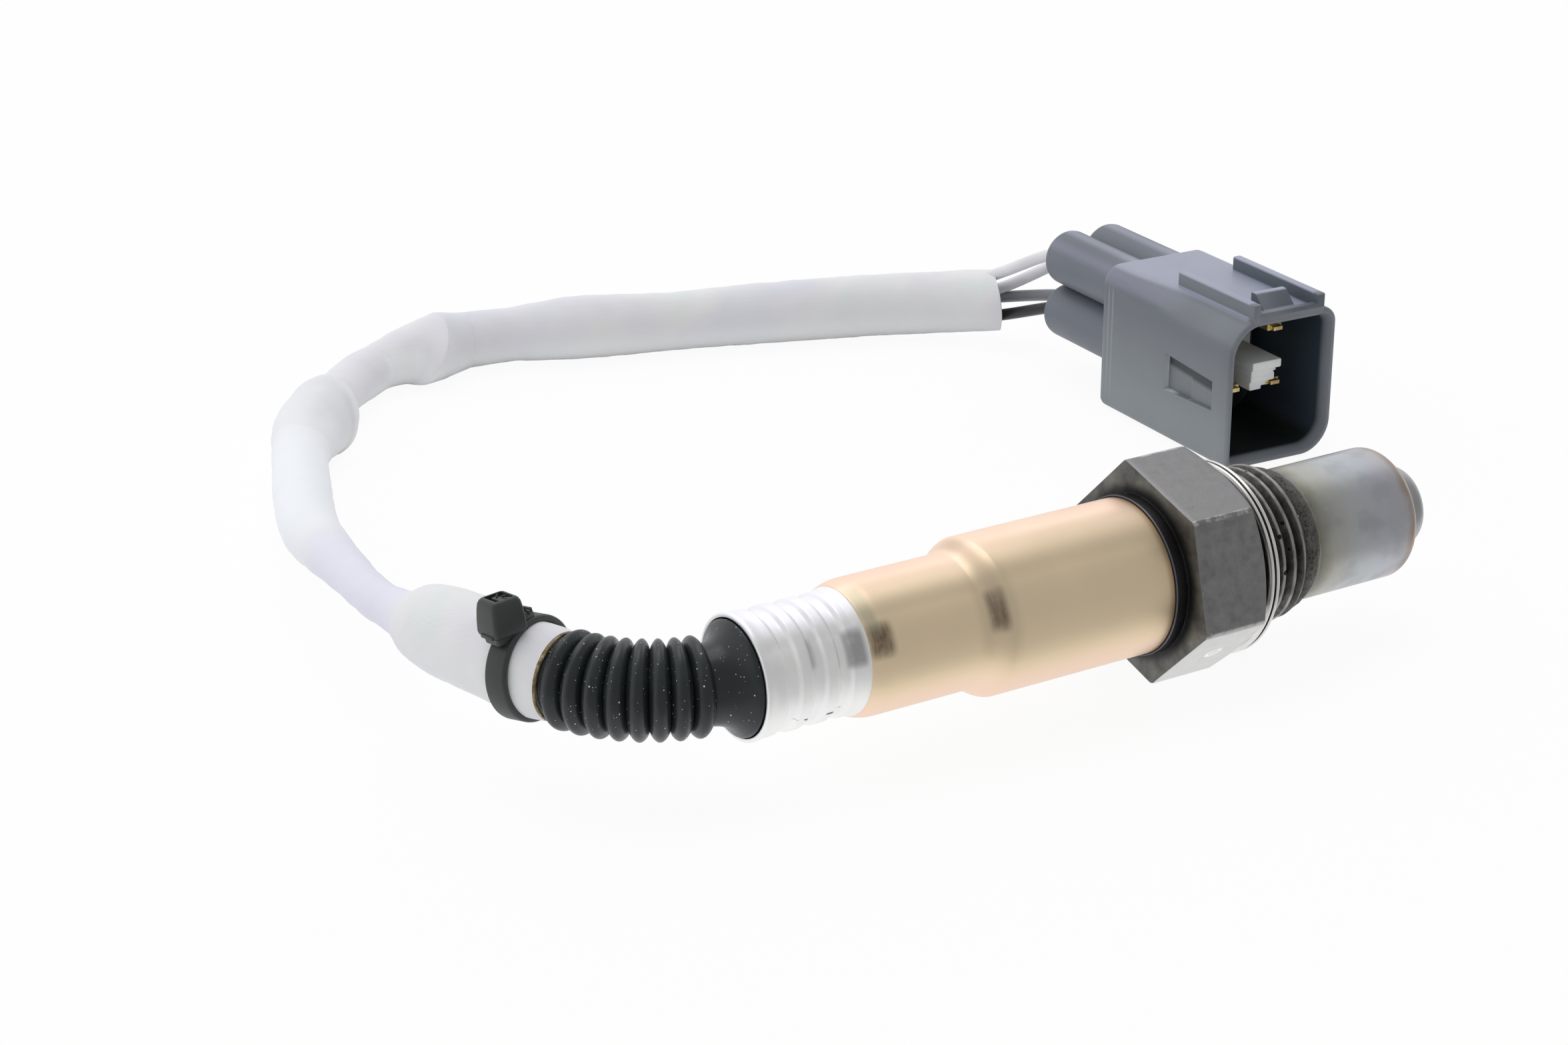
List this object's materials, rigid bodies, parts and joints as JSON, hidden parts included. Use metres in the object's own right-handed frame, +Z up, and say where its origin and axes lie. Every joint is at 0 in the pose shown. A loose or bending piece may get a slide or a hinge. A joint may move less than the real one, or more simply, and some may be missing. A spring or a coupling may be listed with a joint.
{
  "type": "oxygen_sensor",
  "caption": "Automotive exhaust oxygen sensor: hexagon body with mounting thread and protection tube, ribbed boot, woven sleeve lead and rectangular plug.",
  "frame": {"origin": "Middle of the box round the rigid sensor body, at floor level: midway between collar rim and tip on X, on the body's axis in Y, z = 0 on the floor", "axes": "+X along the sensor's axis towards the gas-side tip, +Y to the side the lead loops over, +Z up"},
  "size_m": [0.1426, 0.1477, 0.0246],
  "materials": {
    "dark_steel": "heat-darkened steel with fine marks",
    "bright_steel": "satin steel",
    "tube_steel": "satin steel with heat tint",
    "tinted_steel": "straw-coloured heat-tinted steel, smooth",
    "ceramic": "fired ceramic, matt",
    "contact_metal": "plated brass",
    "boot_rubber": "satin dark rubber with dust",
    "woven_white": "woven glass-fibre sleeving",
    "tie_nylon": "satin nylon",
    "white_insulation": "satin wire insulation",
    "grey_insulation": "satin wire insulation",
    "black_insulation": "satin wire insulation",
    "grey_plastic": "matt moulded plastic",
    "white_plastic": "satin moulded plastic",
    "seal_rubber": "silicone rubber"
  },
  "bodies": {
    "root": {"hex_shell": "dark_steel", "gasket_ring": "bright_steel", "outer_protection_tube": "tube_steel", "inner_protection_tube": "tube_steel", "sensing_element": "ceramic", "lower_ceramic_bush": "ceramic", "powder_seal": "ceramic", "upper_ceramic_bush": "ceramic", "clamp_spring": "bright_steel", "contact_holder": "ceramic", "contact_springs": "contact_metal", "wire_crimps": "contact_metal", "shield_sleeve": "tinted_steel", "crimp_collar": "bright_steel", "seal_grommet": "boot_rubber", "rubber_boot": "boot_rubber", "woven_sleeve": "woven_white", "cable_tie": "tie_nylon", "wire_white_upper": "white_insulation", "wire_white_lower": "white_insulation", "wire_grey": "grey_insulation", "wire_black": "black_insulation", "plug_housing": "grey_plastic", "terminal_retainer": "white_plastic", "terminal_pins": "contact_metal", "wire_seals": "seal_rubber"}
  },
  "joints": []
}
